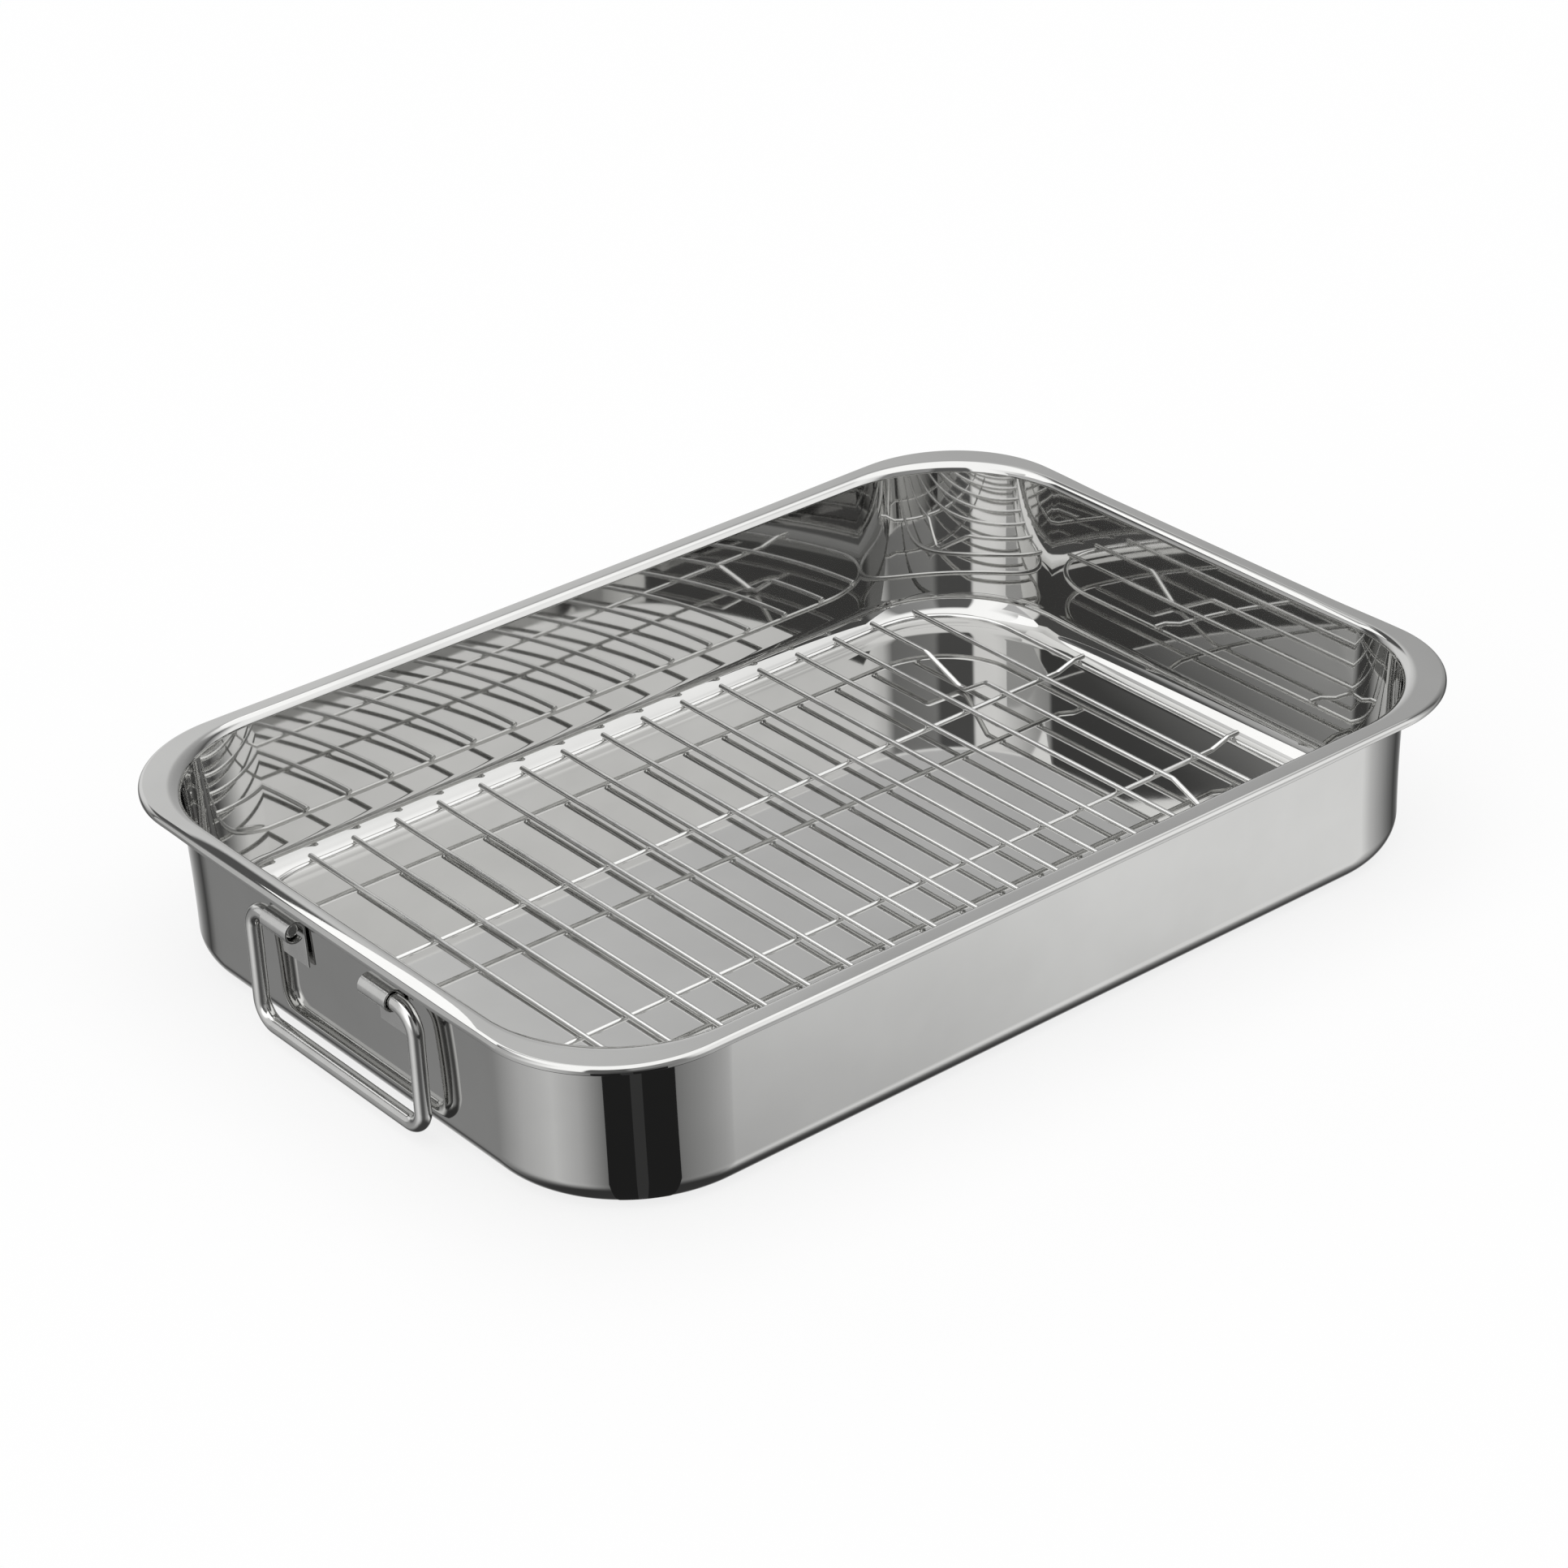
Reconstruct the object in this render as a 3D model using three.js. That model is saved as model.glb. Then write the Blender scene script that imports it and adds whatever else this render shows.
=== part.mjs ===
import * as THREE from "three";

// Roasting pan with two swinging bail handles and a loose wire rack.
// Millimetres. X runs along the pan, Y across it, Z is up and Z = 0 is the table.

// Pan, drawn from one sheet
const rimLength = 400;
const rimWidth = 286;
const panHeight = 64;
const sheet = 1;
const rimCornerRadius = 49;
const wallCornerRadius = 55;
const floorInnerRadius = 10;
const wallLean = 1.8;
const shoulderInnerRadius = 2.2;
const flangeFlat = 4.2;
const lipInnerRadius = 0.8;
const lipSkirt = 1;

// Bail handles, one bent wire at each end
const handleWire = 5.8;
const handleLegSpacing = 93.6;
const handleBendRadius = 8;
const handleTableGap = 3;

// Rolled straps that carry the handle wires
const hingeDrop = 14;
const hingeClearance = 0.35;
const strapThickness = 0.8;
const strapLength = 15;
const strapTail = 15;
const strapSlot = 0.5;
const bendToStrap = 3;
const wireEndInset = 1.5;

// Rack, welded from straight and bent wires
const rackWire = 2;
const rackEndClearance = 21;
const rackSideClearance = 16;
const frameCornerRadius = 35;
const wireOverhang = 1.5;
const longWireSpacing = 83;
const longWireOverhang = 2.6;
const crankRun = 8;
const crankLand = 3;
const crankBendRadius = 5;
const crossWireCount = 17;
const crossWireEndInset = 20;
const frontFootWire = 1; // counted from the front end
const rearFootWire = 2; // counted from the rear end
const footDrop = 9.8;
const footWidth = 34;
const footFlat = 4;
const footOffset = 26;
const footSplay = 3;
const footBendRadius = 4;

// Space left where pieces touch or are welded
const seatGap = 0.3;

// Facets
const cornerSteps = 9;
const arcSteps = 5;
const bendSteps = 6;
const handleSides = 12;
const rackSides = 10;
const strapSteps = 24;

// Sizes that follow from the ones above
const lipRadius = lipInnerRadius + sheet;
const lipEdge = panHeight - lipRadius - lipSkirt;
const shoulderRadius = shoulderInnerRadius + sheet;
const shoulderFoot = panHeight - shoulderRadius;
const flangeWidth = lipRadius + flangeFlat + shoulderInnerRadius;
const floorRadius = floorInnerRadius + sheet;
const footInset = flangeWidth + wallLean;

const handleRadius = handleWire / 2;
const strapInnerRadius = handleRadius + hingeClearance;
const strapRadius = strapInnerRadius + strapThickness;
const hingeHeight = panHeight - hingeDrop;
const hingeX = wallDistance(hingeHeight) + seatGap + strapRadius;
const strapOuterEnd = handleLegSpacing / 2 - handleBendRadius - bendToStrap;
const strapInnerEnd = strapOuterEnd - strapLength;

const rackRadius = rackWire / 2;
const wireStep = rackWire + seatGap;
const frameHalfLength = rimLength / 2 - footInset - sheet - rackEndClearance;
const frameHalfWidth = rimWidth / 2 - footInset - sheet - rackSideClearance;
const crossWireHeight = sheet + seatGap + rackRadius + footDrop;
const frameHeight = crossWireHeight - wireStep;
const crossWireReach = frameHalfLength - crossWireEndInset;

// Distance from the pan's middle plane to the outside of an end wall at one height
function wallDistance(height) {
  const share = (shoulderFoot - height) / (shoulderFoot - floorRadius);
  return rimLength / 2 - flangeWidth - wallLean * share;
}

// The corner radius grows across the flange, so the flange is widest at the corners
function cornerRadiusAt(inset) {
  if (inset <= lipRadius) {
    return rimCornerRadius - inset;
  }
  if (inset >= flangeWidth) {
    return wallCornerRadius - (inset - flangeWidth);
  }
  const share = (inset - lipRadius) / (flangeWidth - lipRadius);
  return THREE.MathUtils.lerp(rimCornerRadius - lipRadius, wallCornerRadius, share);
}

// Points of an arc in the pan's section, as inset from the rim edge and height
function sectionArc(inset, height, radius, fromDegrees, toDegrees) {
  const points = [];
  for (let i = 0; i <= arcSteps; i += 1) {
    const angle = THREE.MathUtils.degToRad(THREE.MathUtils.lerp(fromDegrees, toDegrees, i / arcSteps));
    points.push([inset - radius * Math.cos(angle), height + radius * Math.sin(angle)]);
  }
  return points;
}

// One rounded rectangle round the pan
function panRing(inset, height) {
  const radius = cornerRadiusAt(inset);
  const centreX = rimLength / 2 - inset - radius;
  const centreY = rimWidth / 2 - inset - radius;
  const points = [];
  for (let corner = 0; corner < 4; corner += 1) {
    const signX = corner === 0 || corner === 3 ? 1 : -1;
    const signY = corner < 2 ? 1 : -1;
    for (let i = 0; i <= cornerSteps; i += 1) {
      const angle = (corner + i / cornerSteps) * (Math.PI / 2);
      const x = signX * centreX + radius * Math.cos(angle);
      const y = signY * centreY + radius * Math.sin(angle);
      points.push(new THREE.Vector3(x, y, height));
    }
  }
  return points;
}

// Skin a row of rings, each with the same number of points; open rows get a cap at each end
function skin(rings, closed, startCentre, endCentre) {
  const count = rings[0].length;
  const points = rings.flat();
  const faces = [];
  const spans = closed ? rings.length : rings.length - 1;
  for (let i = 0; i < spans; i += 1) {
    const here = i * count;
    const next = ((i + 1) % rings.length) * count;
    for (let j = 0; j < count; j += 1) {
      const k = (j + 1) % count;
      faces.push(here + j, here + k, next + k);
      faces.push(here + j, next + k, next + j);
    }
  }
  if (!closed) {
    const last = (rings.length - 1) * count;
    const start = points.push(startCentre) - 1;
    const end = points.push(endCentre) - 1;
    for (let j = 0; j < count; j += 1) {
      const k = (j + 1) % count;
      faces.push(start, k, j);
      faces.push(end, last + j, last + k);
    }
  }
  const geometry = new THREE.BufferGeometry().setFromPoints(points);
  geometry.setIndex(faces);
  geometry.computeVertexNormals();
  return geometry;
}

// Outside of the sheet from the base up and over the rim, then the inside down to the floor
function panGeometry() {
  const floorCentre = footInset + floorRadius;
  const shoulderCentre = flangeWidth - shoulderInnerRadius;
  const lipCentre = panHeight - lipRadius;
  const section = [
    ...sectionArc(floorCentre, floorRadius, floorRadius, -90, 0),
    ...sectionArc(shoulderCentre, shoulderFoot, shoulderInnerRadius, 180, 90),
    ...sectionArc(lipRadius, lipCentre, lipInnerRadius, 90, 0),
    [sheet, lipEdge],
    [0, lipEdge],
    ...sectionArc(lipRadius, lipCentre, lipRadius, 0, 90),
    ...sectionArc(shoulderCentre, shoulderFoot, shoulderRadius, 90, 180),
    ...sectionArc(floorCentre, floorRadius, floorInnerRadius, 0, -90),
  ];
  const rings = section.map(([inset, height]) => panRing(inset, height));
  return skin(rings, false, new THREE.Vector3(0, 0, 0), new THREE.Vector3(0, 0, sheet));
}

// A wire's centre line: straight runs joined by bends of one radius
function bentLine(corners, bendRadius, closed) {
  const points = [];
  const count = corners.length;
  corners.forEach((corner, i) => {
    if (!closed && (i === 0 || i === count - 1)) {
      points.push(corner.clone());
      return;
    }
    const along = corner.clone().sub(corners[(i + count - 1) % count]).normalize();
    const away = corners[(i + 1) % count].clone().sub(corner).normalize();
    const turn = along.angleTo(away);
    const start = corner.clone().addScaledVector(along, -bendRadius * Math.tan(turn / 2));
    const toCentre = away.clone().sub(along).normalize().multiplyScalar(bendRadius / Math.cos(turn / 2));
    const centre = corner.clone().add(toCentre);
    const spoke = start.clone().sub(centre);
    for (let k = 0; k <= bendSteps; k += 1) {
      const angle = (turn * k) / bendSteps;
      const point = centre.clone().addScaledVector(spoke, Math.cos(angle));
      points.push(point.addScaledVector(along, bendRadius * Math.sin(angle)));
    }
  });
  return points;
}

// A round wire along a centre line, its frame carried along without twist
function wireGeometry(line, radius, sides, closed) {
  const count = line.length;
  const rings = [];
  let normal = new THREE.Vector3(0, 0, 1);
  line.forEach((point, i) => {
    const before = closed ? line[(i + count - 1) % count] : line[Math.max(i - 1, 0)];
    const after = closed ? line[(i + 1) % count] : line[Math.min(i + 1, count - 1)];
    const inward = point.clone().sub(before).normalize();
    const outward = after.clone().sub(point).normalize();
    const tangent = inward.add(outward).normalize();
    normal = normal.clone().addScaledVector(tangent, -normal.dot(tangent)).normalize();
    const side = tangent.clone().cross(normal);
    const ring = [];
    for (let j = 0; j < sides; j += 1) {
      const angle = (2 * Math.PI * j) / sides;
      const spot = point.clone().addScaledVector(normal, radius * Math.cos(angle));
      ring.push(spot.addScaledVector(side, radius * Math.sin(angle)));
    }
    rings.push(ring);
  });
  return skin(rings, closed, line[0].clone(), line[count - 1].clone());
}

// The handle hangs from its hinge axis, which lies along Y through the piece's own origin
function handleGeometry() {
  const legY = handleLegSpacing / 2;
  const barHeight = handleTableGap + handleRadius - hingeHeight;
  const endY = strapInnerEnd + wireEndInset;
  const corners = [
    new THREE.Vector3(0, -endY, 0),
    new THREE.Vector3(0, -legY, 0),
    new THREE.Vector3(0, -legY, barHeight),
    new THREE.Vector3(0, legY, barHeight),
    new THREE.Vector3(0, legY, 0),
    new THREE.Vector3(0, endY, 0),
  ];
  return wireGeometry(bentLine(corners, handleBendRadius, false), handleRadius, handleSides, false);
}

// A strap rolled round the handle wire, its tail flat against the wall below, open by one slot
function strapGeometry() {
  const backAt = (height) => wallDistance(hingeHeight + height) + seatGap - hingeX;
  const lastCosine = (strapThickness + strapSlot - strapRadius) / strapRadius;
  const sweep = Math.PI + Math.acos(lastCosine);
  const outline = new THREE.Shape();
  outline.moveTo(backAt(-strapTail), -strapTail);
  outline.lineTo(backAt(-strapTail) + strapThickness, -strapTail);
  for (let i = 0; i <= strapSteps; i += 1) {
    const angle = Math.PI - (sweep * i) / strapSteps;
    outline.lineTo(strapInnerRadius * Math.cos(angle), strapInnerRadius * Math.sin(angle));
  }
  for (let i = strapSteps; i >= 0; i -= 1) {
    const angle = Math.PI - (sweep * i) / strapSteps;
    outline.lineTo(strapRadius * Math.cos(angle), strapRadius * Math.sin(angle));
  }
  const geometry = new THREE.ExtrudeGeometry(outline, { depth: strapLength, bevelEnabled: false });
  geometry.translate(0, 0, -strapLength / 2);
  geometry.rotateX(Math.PI / 2);
  return geometry;
}

function frameGeometry() {
  const corners = [
    new THREE.Vector3(frameHalfLength, frameHalfWidth, frameHeight),
    new THREE.Vector3(-frameHalfLength, frameHalfWidth, frameHeight),
    new THREE.Vector3(-frameHalfLength, -frameHalfWidth, frameHeight),
    new THREE.Vector3(frameHalfLength, -frameHalfWidth, frameHeight),
  ];
  return wireGeometry(bentLine(corners, frameCornerRadius, true), rackRadius, rackSides, true);
}

// A long wire lies level with the frame and is cranked up over the frame's end runs
function longWireGeometry() {
  const half = [
    new THREE.Vector3(frameHalfLength + longWireOverhang, 0, crossWireHeight),
    new THREE.Vector3(frameHalfLength - crankLand, 0, crossWireHeight),
    new THREE.Vector3(frameHalfLength - crankLand - crankRun, 0, frameHeight),
  ];
  const others = half.map((point) => new THREE.Vector3(-point.x, 0, point.z)).reverse();
  return wireGeometry(bentLine([...half, ...others], crankBendRadius, false), rackRadius, rackSides, false);
}

// How far a cross wire reaches from the middle, following the frame round its corners
function crossWireHalf(x) {
  const past = Math.max(Math.abs(x) - (frameHalfLength - frameCornerRadius), 0);
  const bow = frameCornerRadius - Math.sqrt(frameCornerRadius ** 2 - past ** 2);
  return frameHalfWidth - bow + wireOverhang;
}

// A cross wire on top of the frame; two of them dip to the floor on either side as feet
function crossWireGeometry(x, footed) {
  const tip = crossWireHalf(x);
  const half = [new THREE.Vector3(0, tip, 0)];
  if (footed) {
    const middle = longWireSpacing / 2 + footOffset;
    const splay = footSplay * Math.sign(x);
    half.push(new THREE.Vector3(0, middle + footWidth / 2, 0));
    half.push(new THREE.Vector3(splay, middle + footFlat / 2, -footDrop));
    half.push(new THREE.Vector3(splay, middle - footFlat / 2, -footDrop));
    half.push(new THREE.Vector3(0, middle - footWidth / 2, 0));
  }
  const others = half.map((point) => new THREE.Vector3(point.x, -point.y, point.z)).reverse();
  return wireGeometry(bentLine([...half, ...others], footBendRadius, false), rackRadius, rackSides, false);
}

function piece(name, geometry, color, roughness) {
  const material = new THREE.MeshStandardMaterial({ color, roughness, metalness: 1 });
  const mesh = new THREE.Mesh(geometry, material);
  mesh.name = name;
  return mesh;
}

const roastingPan = new THREE.Group();
roastingPan.name = "roasting_pan";
roastingPan.add(piece("pan_body", panGeometry(), 0xb8babc, 0.1));

// The rear end group is turned half round to make the front end
for (const end of ["rear", "front"]) {
  const group = new THREE.Group();
  group.rotation.z = end === "rear" ? 0 : Math.PI;
  const handle = piece(`handle_${end}`, handleGeometry(), 0xc6c8ca, 0.08);
  handle.position.set(hingeX, 0, hingeHeight);
  group.add(handle);
  for (const side of [-1, 1]) {
    const left = side > 0 === (end === "rear");
    const strap = piece(`strap_${end}_${left ? "left" : "right"}`, strapGeometry(), 0xb2b4b6, 0.14);
    strap.position.set(hingeX, side * (strapInnerEnd + strapLength / 2), hingeHeight);
    group.add(strap);
  }
  roastingPan.add(group);
}

const rack = new THREE.Group();
rack.add(piece("rack_frame", frameGeometry(), 0xcfd1d3, 0.1));
for (const side of [1, -1]) {
  const wire = piece(`rack_long_wire_${side > 0 ? "left" : "right"}`, longWireGeometry(), 0xd2d4d6, 0.1);
  wire.position.y = (side * longWireSpacing) / 2;
  rack.add(wire);
}
for (let i = 0; i < crossWireCount; i += 1) {
  const x = THREE.MathUtils.lerp(-crossWireReach, crossWireReach, i / (crossWireCount - 1));
  const footed = i === frontFootWire - 1 || i === crossWireCount - rearFootWire;
  const number = String(i + 1).padStart(2, "0");
  const wire = piece(`rack_cross_wire_${number}`, crossWireGeometry(x, footed), 0xd6d8da, 0.1);
  wire.position.set(x, 0, crossWireHeight);
  rack.add(wire);
}
roastingPan.add(rack);

export default roastingPan;
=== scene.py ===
import math

import bpy
from mathutils import Matrix, Vector


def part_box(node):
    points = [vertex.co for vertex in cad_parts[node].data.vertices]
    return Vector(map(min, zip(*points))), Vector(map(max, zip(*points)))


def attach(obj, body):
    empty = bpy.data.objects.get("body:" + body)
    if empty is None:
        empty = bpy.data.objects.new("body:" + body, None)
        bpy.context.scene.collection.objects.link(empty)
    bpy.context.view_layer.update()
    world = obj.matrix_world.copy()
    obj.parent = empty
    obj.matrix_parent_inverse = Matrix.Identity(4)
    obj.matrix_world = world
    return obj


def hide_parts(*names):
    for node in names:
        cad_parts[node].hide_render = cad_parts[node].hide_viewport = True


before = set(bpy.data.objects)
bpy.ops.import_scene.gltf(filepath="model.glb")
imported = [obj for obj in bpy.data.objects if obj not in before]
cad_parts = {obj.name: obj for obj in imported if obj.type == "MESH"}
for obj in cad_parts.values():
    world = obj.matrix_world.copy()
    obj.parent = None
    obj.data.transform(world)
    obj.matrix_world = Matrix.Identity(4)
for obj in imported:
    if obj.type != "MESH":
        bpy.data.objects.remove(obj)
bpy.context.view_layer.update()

# Pan, in metres as the solids have it

SHEET = 0.001
RIM_CORNER_RADIUS = 0.049
WALL_CORNER_RADIUS = 0.055
FLOOR_INNER_RADIUS = 0.010
WALL_LEAN = 0.0018
SHOULDER_INNER_RADIUS = 0.0022
FLANGE_FLAT = 0.0042
LIP_INNER_RADIUS = 0.0008
LIP_SKIRT = 0.001

# The flange is flat at the corners and rolls down along the sides: the drop of its edge, and how far
# across it the roll is highest, from the wall outwards

END_ROLL = (0.0009, 0.35)
SIDE_ROLL = (0.0005, 0.0)
ROLL_BLEND = 0.2

# Handles and straps

HANDLE_RADIUS = 0.0029
HANDLE_BEND_RADIUS = 0.008
WIRE_END_INSET = 0.0015
HINGE_CLEARANCE = 0.00035
STRAP_THICKNESS = 0.0008
STRAP_SLOT = 0.0005
STRAP_EDGE = 0.00018
STRAP_EDGE_ANGLE = 40

# Rack

RACK_RADIUS = 0.001
FRAME_CORNER_RADIUS = 0.035
CRANK_BEND_RADIUS = 0.005
CRANK_RUN = 0.008
CRANK_LAND = 0.003
LONG_WIRE_OVERHANG = 0.0026
FOOT_DROP = 0.0098
FOOT_WIDTH = 0.034
FOOT_FLAT = 0.004
FOOT_MIDDLE = 0.0675
FOOT_BEND_RADIUS = 0.004
FOOTED_WIRES = ("rack_cross_wire_01", "rack_cross_wire_16")
WELD_REACH = 0.0013
WELD_HEIGHT = 0.0008
WELD_WAIST = 0.72
WELD_LOBE = 0.12
WELD_LOBES = 4

# Rounding of every wire's end, as a share of the wire's radius

TIP_ROUNDING = 0.5

# Fineness of the visible meshes

CORNER_STEPS = 48
ARC_STEPS = 14
SIDE_STEPS = 40
WALL_STEPS = 14
FLANGE_STEPS = 6
BEND_STEPS = 16
WIRE_SIDES = 24
TIP_STEPS = 5
STRAP_STEPS = 64
STRAP_EDGE_STEPS = 3
WELD_SIDES = 16
WELD_ROWS = 8
DOME_STEPS = 24

# Sizes that follow from the frame and the ones above

rim_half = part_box("pan_body")[1]
LIP_RADIUS = LIP_INNER_RADIUS + SHEET
LIP_EDGE = rim_half.z - LIP_RADIUS - LIP_SKIRT
SHOULDER_RADIUS = SHOULDER_INNER_RADIUS + SHEET
SHOULDER_FOOT = rim_half.z - SHOULDER_RADIUS
FLANGE_WIDTH = LIP_RADIUS + FLANGE_FLAT + SHOULDER_INNER_RADIUS
FLOOR_RADIUS = FLOOR_INNER_RADIUS + SHEET
FOOT_INSET = FLANGE_WIDTH + WALL_LEAN

# Surface detail: depths in metres, and grain in cycles for each metre

SHEET_RIPPLE = 0.00003
POLISH_DEPTH = 0.00000015
PIT_DEPTH = 0.000002
RIPPLE_GRAIN = 11
SMEAR_GRAIN = 26
POLISH_GRAIN = 900
POLISH_STRETCH = (0.03, 1, 1)
PATCH_GRAIN = 120
PIT_GRAIN = 1400
NOISE_SPAN = (0.3, 0.7)

# Each metal's darkest and lightest colour, and its smoothest and roughest polish

PAN_TONES = ((0.581, 0.58, 0.57), (0.623, 0.622, 0.612))
PAN_POLISH = (0.02, 0.045)
HANDLE_TONES = ((0.746, 0.745, 0.733), (0.823, 0.822, 0.809))
HANDLE_POLISH = (0.12, 0.18)
STRAP_TONES = ((0.723, 0.722, 0.711), (0.803, 0.802, 0.789))
STRAP_POLISH = (0.18, 0.26)
RACK_TONES = ((0.686, 0.685, 0.674), (0.763, 0.762, 0.75))
RACK_POLISH = (0.16, 0.24)

# Light tent: brightness by compass bearing in degrees from +X, below and above the horizon

LOW_PANELS = (
    (0, 0.24), (15, 0.07), (25, 0.14), (45, 0.6), (57, 1.0), (70, 0.6), (90, 0.24),
    (101, 0.07), (112, 0.28), (125, 0.32), (150, 0.58), (176, 0.74), (195, 0.56),
    (213, 0.24), (216, 0.16), (230, 0.09), (246, 0.09), (262, 0.16), (266, 0.26),
    (285, 0.38), (300, 0.5), (306, 0.57), (309, 0.67), (311, 0.77), (316, 1.0),
    (325, 1.0), (335, 0.68), (345, 0.48), (360, 0.24),
)
HIGH_PANELS = (
    (0, 0.3), (20, 0.45), (35, 0.5), (48, 0.58), (58, 0.78), (70, 0.95), (95, 0.95),
    (112, 0.6), (120, 0.1), (132, 0.1), (134, 0.25), (137, 0.55), (150, 0.65),
    (170, 1.1), (190, 1.5), (208, 1.5), (211, 0.15), (238, 0.15), (243, 0.4),
    (280, 0.32), (289, 1.05), (302, 1.3), (318, 1.25), (334, 0.5), (345, 0.12), (360, 0.3),
)
CEILING = 1.5
NADIR = 0.05
GAP = 0.12

# Where the tent's parts fade into each other: the sine of the elevation, and the gap's bearings in degrees

HORIZON_FADE = (-0.2, 0.2)
NADIR_FADE = (-0.66, -0.9)
CEILING_FADE = (0.7, 0.84)
GAP_FOOT_FADE = (0.5, 0.58)
GAP_START_FADE = (62, 68)
GAP_END_FADE = (118, 112)

# Cards close to the pan, seen by the metal only: four corners and a brightness. A white one over the rack
# lights its right half, and one at the front end lights the rim and the handle there.

WHITE_CARDS = (
    (((-0.38, 0.3, 0.5), (0.14, 0.3, 0.5), (0.14, 0.53, 0.5), (-0.38, 0.53, 0.5)), 1.6),
    (((-0.45, 0.1, 0.0), (-0.45, 0.5, 0.0), (-0.45, 0.5, 0.45), (-0.45, 0.1, 0.45)), 0.65),
)

# Black cards under the floor before the near corner: the bearings between which that corner mirrors each,
# in degrees, and its brightness; then where they start and end, and the camera's bearing from that corner

BLACK_CARDS = ((214, 233, 0.02), (233, 241, 0.05), (241, 264, 0.02))
BLACK_CARD_START = -0.01
BLACK_CARD_REACH = 0.13
BLACK_CARD_DROP = 0.001
VIEW_BEARING = 235

# Floor and backdrop

FLOOR_SIZE = 12.0
FLOOR_DROP = 0.0002
FLOOR_GLOW = 0.8
DOME_RADIUS = 9.0

# Camera, placed as the photograph was taken

CAMERA_AZIMUTH = math.radians(-37.84)
CAMERA_ELEVATION = math.radians(29.13)
CAMERA_ROLL = math.radians(-2.65)
CAMERA_DISTANCE = 1.5463
CAMERA_LENS = 101.95
CAMERA_SENSOR = 36
AIM_HEIGHT = 0.030
AIM_RIGHT = -0.0064
AIM_UP = 0.0079


# Mesh helpers

def mesh_piece(name, verts, faces, normals=None):
    """A smooth mesh object; normals, one for each vertex, keep flat stretches truly flat."""
    mesh = bpy.data.meshes.new(name)
    mesh.from_pydata(verts, [], faces)
    mesh.shade_smooth()
    if normals:
        mesh.normals_split_custom_set_from_vertices(normals)
    piece = bpy.data.objects.new(name, mesh)
    bpy.context.scene.collection.objects.link(piece)
    return piece


def strip_faces(ring_count, ring_size, closed=False):
    """Quads between each ring of vertices and the next."""
    faces = []
    for i in range(ring_count if closed else ring_count - 1):
        here = i * ring_size
        after = ((i + 1) % ring_count) * ring_size
        for j in range(ring_size):
            k = (j + 1) % ring_size
            faces.append((here + j, here + k, after + k, after + j))
    return faces


def bent_line(corners, bend_radius, closed=False):
    """A wire's centre line: straight runs joined by bends of one radius."""
    straight = 1e-6
    points = []
    count = len(corners)
    for i, corner in enumerate(corners):
        if not closed and i in (0, count - 1):
            points.append(corner.copy())
            continue
        along = (corner - corners[i - 1]).normalized()
        away = (corners[(i + 1) % count] - corner).normalized()
        turn = along.angle(away)
        if turn < straight:
            continue
        start = corner - along * bend_radius * math.tan(turn / 2)
        centre = corner + (away - along).normalized() * bend_radius / math.cos(turn / 2)
        spoke = start - centre
        for k in range(BEND_STEPS + 1):
            angle = turn * k / BEND_STEPS
            points.append(centre + spoke * math.cos(angle) + along * bend_radius * math.sin(angle))
    return points


def wire_piece(name, line, radius, closed=False):
    """A round wire along a centre line, with rounded ends where it is open."""
    count = len(line)
    tip = TIP_ROUNDING * radius
    verts = []
    normals = []
    # A direction that no wire of the pan runs along, to turn the first ring by
    normal = Vector((0.31, 0.17, 1.0))

    def add_ring(centre, tangent, reach, lean):
        side = tangent.cross(normal)
        for j in range(WIRE_SIDES):
            angle = 2 * math.pi * j / WIRE_SIDES
            outward = normal * math.cos(angle) + side * math.sin(angle)
            verts.append(centre + outward * reach)
            normals.append((outward * math.cos(lean) + tangent * math.sin(lean)).normalized())

    def add_tip(point, tangent, way):
        steps = range(TIP_STEPS + 1)
        for k in steps if way > 0 else reversed(steps):
            lean = math.pi / 2 * k / TIP_STEPS
            back = tip * (1 - math.sin(lean)) * way
            reach = radius - tip * (1 - math.cos(lean))
            add_ring(point - tangent * back, tangent, reach, lean * way)

    for i, point in enumerate(line):
        before = line[i - 1] if closed or i else point
        after = line[(i + 1) % count] if closed or i < count - 1 else point
        tangent = ((point - before).normalized() + (after - point).normalized()).normalized()
        normal = (normal - tangent * normal.dot(tangent)).normalized()
        if not closed and i == 0:
            add_tip(point, tangent, -1)
        elif not closed and i == count - 1:
            add_tip(point, tangent, 1)
        else:
            add_ring(point, tangent, radius, 0)
    rings = len(verts) // WIRE_SIDES
    faces = strip_faces(rings, WIRE_SIDES, closed)
    if not closed:
        faces.append(tuple(range(WIRE_SIDES))[::-1])
        faces.append(tuple(range((rings - 1) * WIRE_SIDES, rings * WIRE_SIDES)))
    return mesh_piece(name, verts, faces, normals)


# Pan

def corner_radius_at(inset):
    """The corner radius grows across the flange, so the flange is widest at the corners."""
    if inset <= LIP_RADIUS:
        return RIM_CORNER_RADIUS - inset
    if inset >= FLANGE_WIDTH:
        return WALL_CORNER_RADIUS - (inset - FLANGE_WIDTH)
    share = (inset - LIP_RADIUS) / (FLANGE_WIDTH - LIP_RADIUS)
    lip_side = RIM_CORNER_RADIUS - LIP_RADIUS
    return lip_side + (WALL_CORNER_RADIUS - lip_side) * share


def section_arc(inset, height, radius, start, end, facing):
    """An arc of the sheet's section: inset from the rim edge, height, and the way it faces."""
    points = []
    for i in range(ARC_STEPS + 1):
        angle = math.radians(start + (end - start) * i / ARC_STEPS)
        out = math.cos(angle)
        up = math.sin(angle)
        points.append((inset - radius * out, height + radius * up, facing * out, facing * up))
    return points


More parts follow.
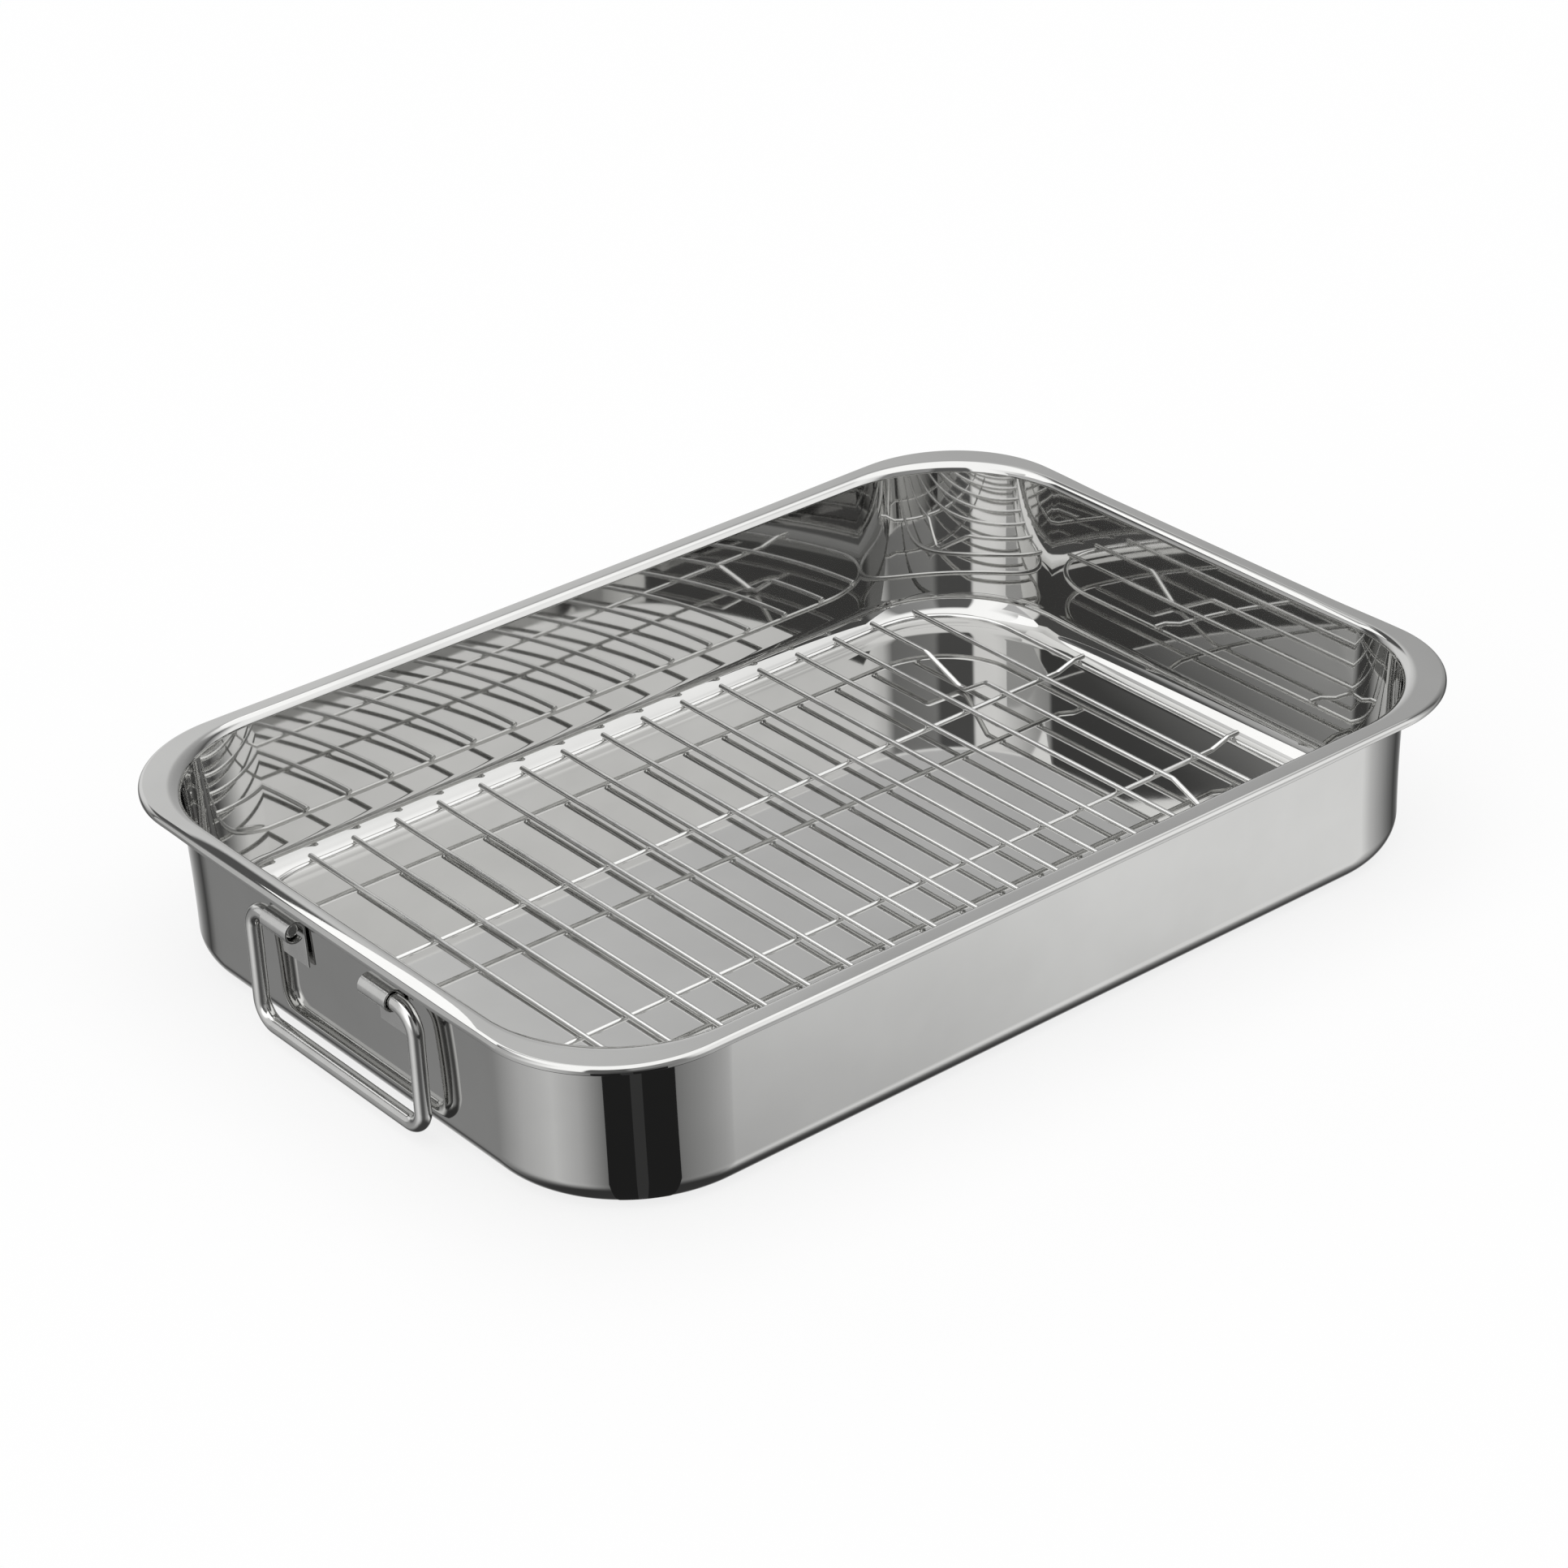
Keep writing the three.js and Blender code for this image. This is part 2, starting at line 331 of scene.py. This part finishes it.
def wall_curve(offset, facing):
    """The wall's face: upright at the foot, leaning out more and more towards the shoulder."""
    rise = SHOULDER_FOOT - FLOOR_RADIUS
    points = []
    for i in range(1, WALL_STEPS):
        share = i / WALL_STEPS
        lean = math.atan2(2 * WALL_LEAN * share, rise)
        inset = FOOT_INSET - WALL_LEAN * share ** 2 + offset * math.cos(lean)
        height = FLOOR_RADIUS + rise * share + offset * math.sin(lean)
        points.append((inset, height, facing * math.cos(lean), -facing * math.sin(lean)))
    return points


def flange_top(shoulder_centre):
    """Points across the flat of the flange, for the roll along the sides to bend."""
    width = shoulder_centre - LIP_RADIUS
    return [(LIP_RADIUS + width * i / FLANGE_STEPS, rim_half.z, 0, 1) for i in range(1, FLANGE_STEPS)]


def pan_section():
    """The sheet's section: under the floor, up the outside, round the lip and down the inside."""
    floor_centre = FOOT_INSET + FLOOR_RADIUS
    shoulder_centre = FLANGE_WIDTH - SHOULDER_INNER_RADIUS
    lip_height = rim_half.z - LIP_RADIUS
    edge_radius = SHEET / 2
    lean = math.degrees(math.atan2(2 * WALL_LEAN, SHOULDER_FOOT - FLOOR_RADIUS))
    return [
        *section_arc(floor_centre, FLOOR_RADIUS, FLOOR_RADIUS, -90, 0, 1),
        *wall_curve(0, 1),
        *section_arc(shoulder_centre, SHOULDER_FOOT, SHOULDER_INNER_RADIUS, 180 - lean, 90, -1),
        *section_arc(LIP_RADIUS, lip_height, LIP_INNER_RADIUS, 90, 0, -1),
        *section_arc(edge_radius, LIP_EDGE + edge_radius, edge_radius, -180, 0, 1),
        *section_arc(LIP_RADIUS, lip_height, LIP_RADIUS, 0, 90, 1),
        *flange_top(shoulder_centre),
        *section_arc(shoulder_centre, SHOULDER_FOOT, SHOULDER_RADIUS, 90, 180 - lean, 1),
        *reversed(wall_curve(SHEET, -1)),
        *section_arc(floor_centre, FLOOR_RADIUS, FLOOR_INNER_RADIUS, 0, -90, -1),
    ]


def rim_stations():
    """Round the pan: the corner before, the one after, the share between them, and the way out."""
    stations = []
    for corner in range(4):
        for i in range(CORNER_STEPS + 1):
            stations.append((corner, corner, 0, (corner + i / CORNER_STEPS) * math.pi / 2))
        for i in range(1, SIDE_STEPS):
            stations.append((corner, (corner + 1) % 4, i / SIDE_STEPS, (corner + 1) * math.pi / 2))
    return stations


def rim_roll(inset, height, corner, share):
    """How the flange rolls down along a side: the change in height, and its slope outwards."""
    if height < SHOULDER_FOOT or share == 0:
        return 0, 0
    drop, crown = END_ROLL if corner in (1, 3) else SIDE_ROLL
    reach = min(min(share, 1 - share) / ROLL_BLEND, 1)
    drop *= reach * reach * (3 - 2 * reach)
    across = (FLANGE_WIDTH - inset) / FLANGE_WIDTH
    bend = (across - crown) / (1 - crown)
    return -drop * bend ** 2, -2 * drop * bend / ((1 - crown) * FLANGE_WIDTH)


def make_pan():
    """The sheet's section carried round the pan's rounded rectangle."""
    section = pan_section()
    stations = rim_stations()
    signs = [Vector((1, 1)), Vector((-1, 1)), Vector((-1, -1)), Vector((1, -1))]
    verts = []
    normals = []
    for inset, height, facing_out, facing_up in section:
        radius = corner_radius_at(inset)
        centre = Vector((rim_half.x - inset - radius, rim_half.y - inset - radius))
        for corner, following, share, angle in stations:
            out = Vector((math.cos(angle), math.sin(angle)))
            spot = centre * signs[corner].lerp(signs[following], share) + out * radius
            change, slope = rim_roll(inset, height, corner, share)
            tilt = facing_out - slope * facing_up
            verts.append((spot.x, spot.y, height + change))
            normals.append(Vector((tilt * out.x, tilt * out.y, facing_up)).normalized())
    ring_size = len(stations)
    faces = strip_faces(len(section), ring_size)
    faces.append(tuple(range(ring_size))[::-1])
    faces.append(tuple(range(len(verts) - ring_size, len(verts))))
    return mesh_piece("pan_shell", verts, faces, normals)


# Handles and their straps

def hinge_of(end):
    """Where a handle's hinge axis crosses the pan's middle plane."""
    low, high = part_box(f"handle_{end}")
    return Vector(((low.x + high.x) / 2, 0, high.z - HANDLE_RADIUS))


def make_handle(end):
    """One bent wire: a bar, two legs, and a short end turned in through each strap."""
    low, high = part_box(f"handle_{end}")
    strap_low, strap_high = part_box(f"strap_{end}_left")
    hinge = hinge_of(end)
    bar = low.z + HANDLE_RADIUS
    leg = high.y - HANDLE_RADIUS
    tip = min(abs(strap_low.y), abs(strap_high.y)) + WIRE_END_INSET
    corners = [
        Vector((hinge.x, -tip, hinge.z)),
        Vector((hinge.x, -leg, hinge.z)),
        Vector((hinge.x, -leg, bar)),
        Vector((hinge.x, leg, bar)),
        Vector((hinge.x, leg, hinge.z)),
        Vector((hinge.x, tip, hinge.z)),
    ]
    return wire_piece(f"bail_{end}", bent_line(corners, HANDLE_BEND_RADIUS), HANDLE_RADIUS)


def make_strap(end, side):
    """A strip rolled round the handle wire, its tail flat against the wall, its edges broken."""
    low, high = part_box(f"strap_{end}_{side}")
    hinge = hinge_of(end)
    outward = math.copysign(1, hinge.x)
    inner = HANDLE_RADIUS + HINGE_CLEARANCE
    outer = inner + STRAP_THICKNESS
    wall = abs(high.x if outward < 0 else low.x) - abs(hinge.x)
    sweep = math.pi + math.acos((STRAP_THICKNESS + STRAP_SLOT - outer) / outer)
    turns = [math.pi - sweep * i / STRAP_STEPS for i in range(STRAP_STEPS + 1)]
    drop = low.z - hinge.z
    outline = [(wall, drop), (wall + STRAP_THICKNESS, drop)]
    outline += [(inner * math.cos(turn), inner * math.sin(turn)) for turn in turns]
    outline += [(outer * math.cos(turn), outer * math.sin(turn)) for turn in reversed(turns)]
    verts = []
    for y in (low.y, high.y):
        verts += [(hinge.x + outward * out, y, hinge.z + up) for out, up in outline]
    count = len(outline)
    faces = strip_faces(2, count)
    faces.append(tuple(range(count))[::-1])
    faces.append(tuple(range(count, 2 * count)))
    piece = mesh_piece(f"roll_{end}_{side}", verts, faces)
    if outward < 0:
        piece.data.flip_normals()
    bevel = piece.modifiers.new("broken_edges", "BEVEL")
    bevel.width = STRAP_EDGE
    bevel.segments = STRAP_EDGE_STEPS
    bevel.limit_method = "ANGLE"
    bevel.angle_limit = math.radians(STRAP_EDGE_ANGLE)
    bevel.harden_normals = True
    return piece


# Rack

def make_rack_frame():
    """One wire bent to a ring with rounded corners."""
    low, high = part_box("rack_frame")
    x = high.x - RACK_RADIUS
    y = high.y - RACK_RADIUS
    z = (low.z + high.z) / 2
    corners = [Vector((x, y, z)), Vector((-x, y, z)), Vector((-x, -y, z)), Vector((x, -y, z))]
    line = bent_line(corners, FRAME_CORNER_RADIUS, closed=True)
    return wire_piece("frame_wire", line, RACK_RADIUS, closed=True)


def make_long_wire(side):
    """A wire under the cross wires, cranked up at both ends to lie over the frame."""
    low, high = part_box(f"rack_long_wire_{side}")
    y = (low.y + high.y) / 2
    top = high.z - RACK_RADIUS
    bottom = low.z + RACK_RADIUS
    land = high.x - LONG_WIRE_OVERHANG - CRANK_LAND
    corners = [
        Vector((high.x, y, top)),
        Vector((land, y, top)),
        Vector((land - CRANK_RUN, y, bottom)),
        Vector((CRANK_RUN - land, y, bottom)),
        Vector((-land, y, top)),
        Vector((low.x, y, top)),
    ]
    return wire_piece(f"long_wire_{side}", bent_line(corners, CRANK_BEND_RADIUS), RACK_RADIUS)


def footed_line(low, high, z):
    """The centre line of a cross wire that dips to the pan's floor on either side."""
    outward = 1 if low.x > 0 else -1
    x = (low.x if outward > 0 else high.x) + outward * RACK_RADIUS
    foot_x = (high.x if outward > 0 else low.x) - outward * RACK_RADIUS
    half = [
        Vector((x, high.y, z)),
        Vector((x, FOOT_MIDDLE + FOOT_WIDTH / 2, z)),
        Vector((foot_x, FOOT_MIDDLE + FOOT_FLAT / 2, z - FOOT_DROP)),
        Vector((foot_x, FOOT_MIDDLE - FOOT_FLAT / 2, z - FOOT_DROP)),
        Vector((x, FOOT_MIDDLE - FOOT_WIDTH / 2, z)),
    ]
    others = [Vector((point.x, -point.y, point.z)) for point in reversed(half)]
    return bent_line(half + others, FOOT_BEND_RADIUS)


def make_cross_wire(node):
    """A cross wire of the rack, straight or with feet."""
    low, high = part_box(node)
    z = high.z - RACK_RADIUS
    if node in FOOTED_WIRES:
        line = footed_line(low, high, z)
    else:
        x = (low.x + high.x) / 2
        line = [Vector((x, low.y, z)), Vector((x, 0, z)), Vector((x, high.y, z))]
    return wire_piece(node.replace("rack_", "bar_"), line, RACK_RADIUS)


def weld_spots():
    """The middle of each gap between two crossing wires of the rack."""
    frame_low, frame_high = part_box("rack_frame")
    side = frame_high.y - RACK_RADIUS
    end = frame_high.x - RACK_RADIUS
    lower = (frame_low.z + frame_high.z) / 2
    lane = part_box("rack_long_wire_left")[1].y - RACK_RADIUS
    spots = []
    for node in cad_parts:
        low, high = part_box(node)
        upper = high.z - RACK_RADIUS
        middle = (lower + upper) / 2
        if node.startswith("rack_cross_wire"):
            x = (low.x + high.x) / 2
            if node in FOOTED_WIRES:
                x = min(low.x, high.x, key=abs) + math.copysign(RACK_RADIUS, low.x)
            bow = max(abs(x) - (end - FRAME_CORNER_RADIUS), 0)
            reach = side - FRAME_CORNER_RADIUS + math.sqrt(FRAME_CORNER_RADIUS ** 2 - bow ** 2)
            spots += [Vector((x, y, middle)) for y in (-reach, -lane, lane, reach)]
        elif node.startswith("rack_long_wire"):
            y = (low.y + high.y) / 2
            spots += [Vector((x, y, middle)) for x in (-end, end)]
    return spots


def make_welds():
    """A small bead where each pair of wires is fused, pinched at the waist."""
    verts = []
    faces = []
    for spot in weld_spots():
        base = len(verts)
        for row in range(WELD_ROWS + 1):
            tilt = math.pi * (row / WELD_ROWS - 0.5)
            waist = WELD_WAIST + (1 - WELD_WAIST) * math.sin(tilt) ** 2
            reach = WELD_REACH * waist * math.cos(tilt) ** 0.5
            for j in range(WELD_SIDES):
                turn = 2 * math.pi * j / WELD_SIDES
                wide = reach * (1 + WELD_LOBE * math.cos(WELD_LOBES * turn))
                offset = (wide * math.cos(turn), wide * math.sin(turn), WELD_HEIGHT * math.sin(tilt))
                verts.append(spot + Vector(offset))
        for quad in strip_faces(WELD_ROWS + 1, WELD_SIDES):
            faces.append(tuple(base + i for i in quad))
    return mesh_piece("rack_welds", verts, faces)


# Materials

def node_setup(material):
    """The material's node tree, its shader, and metre coordinates that stay with the piece."""
    material.use_nodes = True
    tree = material.node_tree
    shader = tree.nodes["Principled BSDF"]
    coords = tree.nodes.new("ShaderNodeTexCoord").outputs["Object"]
    return tree, shader, coords


def noise(tree, coords, grain, detail, stretch=(1, 1, 1)):
    """Noise with a grain in cycles for each metre, drawn out along an axis by stretch."""
    mapping = tree.nodes.new("ShaderNodeMapping")
    mapping.inputs["Scale"].default_value = stretch
    texture = tree.nodes.new("ShaderNodeTexNoise")
    texture.inputs["Scale"].default_value = grain
    texture.inputs["Detail"].default_value = detail
    tree.links.new(coords, mapping.inputs["Vector"])
    tree.links.new(mapping.outputs["Vector"], texture.inputs["Vector"])
    return texture.outputs["Fac"]


def spread(tree, value, low, high):
    """A noise value carried to the range from low to high."""
    node = tree.nodes.new("ShaderNodeMapRange")
    node.inputs["From Min"].default_value = NOISE_SPAN[0]
    node.inputs["From Max"].default_value = NOISE_SPAN[1]
    node.inputs["To Min"].default_value = low
    node.inputs["To Max"].default_value = high
    tree.links.new(value, node.inputs["Value"])
    return node.outputs["Result"]


def tone(tree, value, dark, light):
    """A colour between dark and light."""
    ramp = tree.nodes.new("ShaderNodeValToRGB")
    for element, position, colour in zip(ramp.color_ramp.elements, NOISE_SPAN, (dark, light)):
        element.position = position
        element.color = (*colour, 1)
    tree.links.new(value, ramp.inputs["Fac"])
    return ramp.outputs["Color"]


def bump(tree, height, depth, below=None):
    """A bump of a real depth in metres, laid over another one."""
    node = tree.nodes.new("ShaderNodeBump")
    node.inputs["Strength"].default_value = 1
    node.inputs["Distance"].default_value = depth
    tree.links.new(height, node.inputs["Height"])
    if below is not None:
        tree.links.new(below, node.inputs["Normal"])
    return node.outputs["Normal"]


def sheet_steel():
    """Mirror-polished sheet: faint smears, polishing lines along the pan, a slight ripple."""
    material = bpy.data.materials.new("pan_steel")
    tree, shader, coords = node_setup(material)
    smears = noise(tree, coords, SMEAR_GRAIN, detail=4)
    lines = noise(tree, coords, POLISH_GRAIN, detail=2, stretch=POLISH_STRETCH)
    ripple = noise(tree, coords, RIPPLE_GRAIN, detail=1)
    shader.inputs["Metallic"].default_value = 1
    tree.links.new(tone(tree, smears, *PAN_TONES), shader.inputs["Base Color"])
    tree.links.new(spread(tree, smears, *PAN_POLISH), shader.inputs["Roughness"])
    rippled = bump(tree, ripple, SHEET_RIPPLE)
    tree.links.new(bump(tree, lines, POLISH_DEPTH, rippled), shader.inputs["Normal"])
    return material


def drawn_wire(name, tones, polish):
    """Drawn and polished wire: fine pits and a gloss that comes and goes."""
    material = bpy.data.materials.new(name)
    tree, shader, coords = node_setup(material)
    patches = noise(tree, coords, PATCH_GRAIN, detail=4)
    pits = noise(tree, coords, PIT_GRAIN, detail=2)
    shader.inputs["Metallic"].default_value = 1
    tree.links.new(tone(tree, patches, *tones), shader.inputs["Base Color"])
    tree.links.new(spread(tree, patches, *polish), shader.inputs["Roughness"])
    tree.links.new(bump(tree, pits, PIT_DEPTH), shader.inputs["Normal"])
    return material


def glowing(name, brightness):
    """A surface that shines evenly."""
    material = bpy.data.materials.new(name)
    material.use_nodes = True
    tree = material.node_tree
    glow = tree.nodes.new("ShaderNodeEmission")
    glow.inputs["Strength"].default_value = brightness
    tree.links.new(glow.outputs[0], tree.nodes["Material Output"].inputs["Surface"])
    return material


def dress(piece, material):
    """Give a piece its one material."""
    piece.data.materials.clear()
    piece.data.materials.append(material)


# Studio

def sum_node(tree, operation, *values):
    """One step of arithmetic; each value is a number or another node's result."""
    node = tree.nodes.new("ShaderNodeMath")
    node.operation = operation
    for value, socket in zip(values, node.inputs):
        if isinstance(value, (int, float)):
            socket.default_value = value
        else:
            tree.links.new(value, socket)
    return node.outputs[0]


def brightness_ramp(tree, turn, stops):
    """Brightness round the horizon from (degrees, value) stops."""
    ramp = tree.nodes.new("ShaderNodeValToRGB")
    elements = ramp.color_ramp.elements
    elements.remove(elements[1])
    for i, (degrees, value) in enumerate(stops):
        element = elements[0] if i == 0 else elements.new(degrees / 360)
        element.position = degrees / 360
        element.color = (value, value, value, 1)
    tree.links.new(turn, ramp.inputs["Fac"])
    return ramp.outputs["Color"]


def fade(tree, value, start, end):
    """0 at start and 1 at end, smoothly."""
    node = tree.nodes.new("ShaderNodeMapRange")
    node.interpolation_type = "SMOOTHSTEP"
    node.inputs["From Min"].default_value = start
    node.inputs["From Max"].default_value = end
    tree.links.new(value, node.inputs["Value"])
    return node.outputs["Result"]


def mixed(tree, share, first, second):
    """A mix of two colours, each a level of grey or another node's result."""
    node = tree.nodes.new("ShaderNodeMix")
    node.data_type = "RGBA"
    tree.links.new(share, node.inputs["Factor"])
    colours = [socket for socket in node.inputs if socket.type == "RGBA"]
    for value, socket in zip((first, second), colours):
        if isinstance(value, float):
            socket.default_value = (value, value, value, 1)
        else:
            tree.links.new(value, socket)
    return next(socket for socket in node.outputs if socket.type == "RGBA")


def make_studio():
    """A light tent: a bright ceiling, bright side panels, and dark gaps between them."""
    world = bpy.data.worlds.new("studio")
    bpy.context.scene.world = world
    world.use_nodes = True
    tree = world.node_tree
    direction = tree.nodes.new("ShaderNodeTexCoord").outputs["Generated"]
    split = tree.nodes.new("ShaderNodeSeparateXYZ")
    tree.links.new(direction, split.inputs["Vector"])
    bearing = sum_node(tree, "ARCTAN2", split.outputs["Y"], split.outputs["X"])
    turn = sum_node(tree, "FRACT", sum_node(tree, "MULTIPLY_ADD", bearing, 0.5 / math.pi, 1))
    height = split.outputs["Z"]
    sides_low = brightness_ramp(tree, turn, LOW_PANELS)
    sides_high = brightness_ramp(tree, turn, HIGH_PANELS)
    sides = mixed(tree, fade(tree, height, *HORIZON_FADE), sides_low, sides_high)
    grounded = mixed(tree, fade(tree, height, *NADIR_FADE), sides, NADIR)
    gap_start = fade(tree, turn, *(degrees / 360 for degrees in GAP_START_FADE))
    gap_end = fade(tree, turn, *(degrees / 360 for degrees in GAP_END_FADE))
    gap_bearings = sum_node(tree, "MULTIPLY", gap_start, gap_end)
    gap = sum_node(tree, "MULTIPLY", gap_bearings, fade(tree, height, *GAP_FOOT_FADE))
    gapped = mixed(tree, gap, grounded, GAP)
    light = mixed(tree, fade(tree, height, *CEILING_FADE), gapped, CEILING)
    tree.links.new(light, tree.nodes["Background"].inputs["Color"])


def floor_paper():
    """White paper that shows the camera a lightened shadow."""
    material = bpy.data.materials.new("floor_paper")
    material.use_nodes = True
    tree = material.node_tree
    paper = tree.nodes["Principled BSDF"]
    paper.inputs["Base Color"].default_value = (1, 1, 1, 1)
    paper.inputs["Roughness"].default_value = 1
    paper.inputs["Specular IOR Level"].default_value = 0
    glow = tree.nodes.new("ShaderNodeEmission")
    camera_ray = tree.nodes.new("ShaderNodeLightPath").outputs["Is Camera Ray"]
    both = tree.nodes.new("ShaderNodeMixShader")
    tree.links.new(sum_node(tree, "MULTIPLY", camera_ray, FLOOR_GLOW), both.inputs[0])
    tree.links.new(paper.outputs[0], both.inputs[1])
    tree.links.new(glow.outputs[0], both.inputs[2])
    tree.links.new(both.outputs[0], tree.nodes["Material Output"].inputs["Surface"])
    return material


def make_floor():
    """A plain white floor; the polished walls mirror the tent instead of it, as in the photograph."""
    half = FLOOR_SIZE / 2
    outline = ((-half, -half), (half, -half), (half, half), (-half, half))
    verts = [(x, y, -FLOOR_DROP) for x, y in outline]
    floor = mesh_piece("floor", verts, [(0, 1, 2, 3)])
    dress(floor, floor_paper())
    floor.visible_glossy = False


def make_card(name, corners, brightness):
    """A plain card that only the metal mirrors."""
    card = mesh_piece(name, corners, [(0, 1, 2, 3)])
    dress(card, glowing(name, brightness))
    card.visible_camera = False
    card.visible_diffuse = False
    card.visible_shadow = False


def compass(degrees):
    """A level direction from its bearing."""
    return Vector((math.cos(math.radians(degrees)), math.sin(math.radians(degrees)), 0))


def black_card_edge(bearing):
    """One edge of a black card, out from the spot of the near corner that mirrors this bearing."""
    facing = compass((bearing + VIEW_BEARING) / 2)
    inset = FLANGE_WIDTH + WALL_CORNER_RADIUS
    centre = Vector((inset - rim_half.x, inset - rim_half.y, -BLACK_CARD_DROP))
    spot = centre + facing * (WALL_CORNER_RADIUS - WALL_LEAN)
    return spot + compass(bearing) * BLACK_CARD_START, spot + compass(bearing) * BLACK_CARD_REACH


def make_cards():
    """The white cards over and before the pan, and the black ones before its near corner."""
    for i, (corners, brightness) in enumerate(WHITE_CARDS):
        make_card(f"white_card_{i + 1}", corners, brightness)
    for i, (first, last, brightness) in enumerate(BLACK_CARDS):
        near_first, far_first = black_card_edge(first)
        near_last, far_last = black_card_edge(last)
        make_card(f"black_card_{i + 1}", (near_first, far_first, far_last, near_last), brightness)


def make_backdrop():
    """A white dome that only the camera sees, behind views from low down."""
    verts = []
    for i in range(DOME_STEPS):
        rise = math.pi / 2 * i / DOME_STEPS
        ring = DOME_RADIUS * math.cos(rise)
        height = DOME_RADIUS * math.sin(rise) - FLOOR_DROP
        for j in range(DOME_STEPS):
            turn = 2 * math.pi * j / DOME_STEPS
            verts.append((ring * math.cos(turn), ring * math.sin(turn), height))
    dome = mesh_piece("backdrop", verts, strip_faces(DOME_STEPS, DOME_STEPS))
    dress(dome, glowing("backdrop_white", 1))
    dome.visible_diffuse = False
    dome.visible_glossy = False
    dome.visible_transmission = False
    dome.visible_shadow = False


def make_camera():
    """The camera, turned about its own axis as the photograph is."""
    back = Vector((
        math.sin(CAMERA_AZIMUTH) * math.cos(CAMERA_ELEVATION),
        -math.cos(CAMERA_AZIMUTH) * math.cos(CAMERA_ELEVATION),
        math.sin(CAMERA_ELEVATION),
    ))
    level = Vector((math.cos(CAMERA_AZIMUTH), math.sin(CAMERA_AZIMUTH), 0))
    steep = back.cross(level)
    right = level * math.cos(CAMERA_ROLL) + steep * math.sin(CAMERA_ROLL)
    up = steep * math.cos(CAMERA_ROLL) - level * math.sin(CAMERA_ROLL)
    spot = Vector((0, 0, AIM_HEIGHT)) + right * AIM_RIGHT + up * AIM_UP + back * CAMERA_DISTANCE
    data = bpy.data.cameras.new("camera")
    data.lens = CAMERA_LENS
    data.sensor_width = CAMERA_SENSOR
    camera = bpy.data.objects.new("camera", data)
    camera.matrix_world = Matrix.Translation(spot) @ Matrix((right, up, back)).transposed().to_4x4()
    bpy.context.scene.collection.objects.link(camera)
    bpy.context.scene.camera = camera


# Assembly

def place(piece, body, material, node=None):
    """Dress a piece, let it stand for its solid, and let it ride on a body."""
    dress(piece, material)
    if node:
        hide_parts(node)
    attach(piece, body)


make_camera()
make_studio()
make_floor()
make_cards()
make_backdrop()

pan_material = sheet_steel()
handle_material = drawn_wire("handle_steel", HANDLE_TONES, HANDLE_POLISH)
strap_material = drawn_wire("strap_steel", STRAP_TONES, STRAP_POLISH)
rack_material = drawn_wire("rack_wire", RACK_TONES, RACK_POLISH)

place(make_pan(), "pan", pan_material, "pan_body")
for end in ("front", "rear"):
    place(make_handle(end), f"{end}_handle", handle_material, f"handle_{end}")
    for side in ("left", "right"):
        place(make_strap(end, side), "pan", strap_material, f"strap_{end}_{side}")
place(make_rack_frame(), "rack", rack_material, "rack_frame")
for side in ("left", "right"):
    place(make_long_wire(side), "rack", rack_material, f"rack_long_wire_{side}")
for node in sorted(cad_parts):
    if node.startswith("rack_cross_wire"):
        place(make_cross_wire(node), "rack", rack_material, node)
place(make_welds(), "rack", rack_material)

bpy.context.scene.view_settings.view_transform = "Standard"
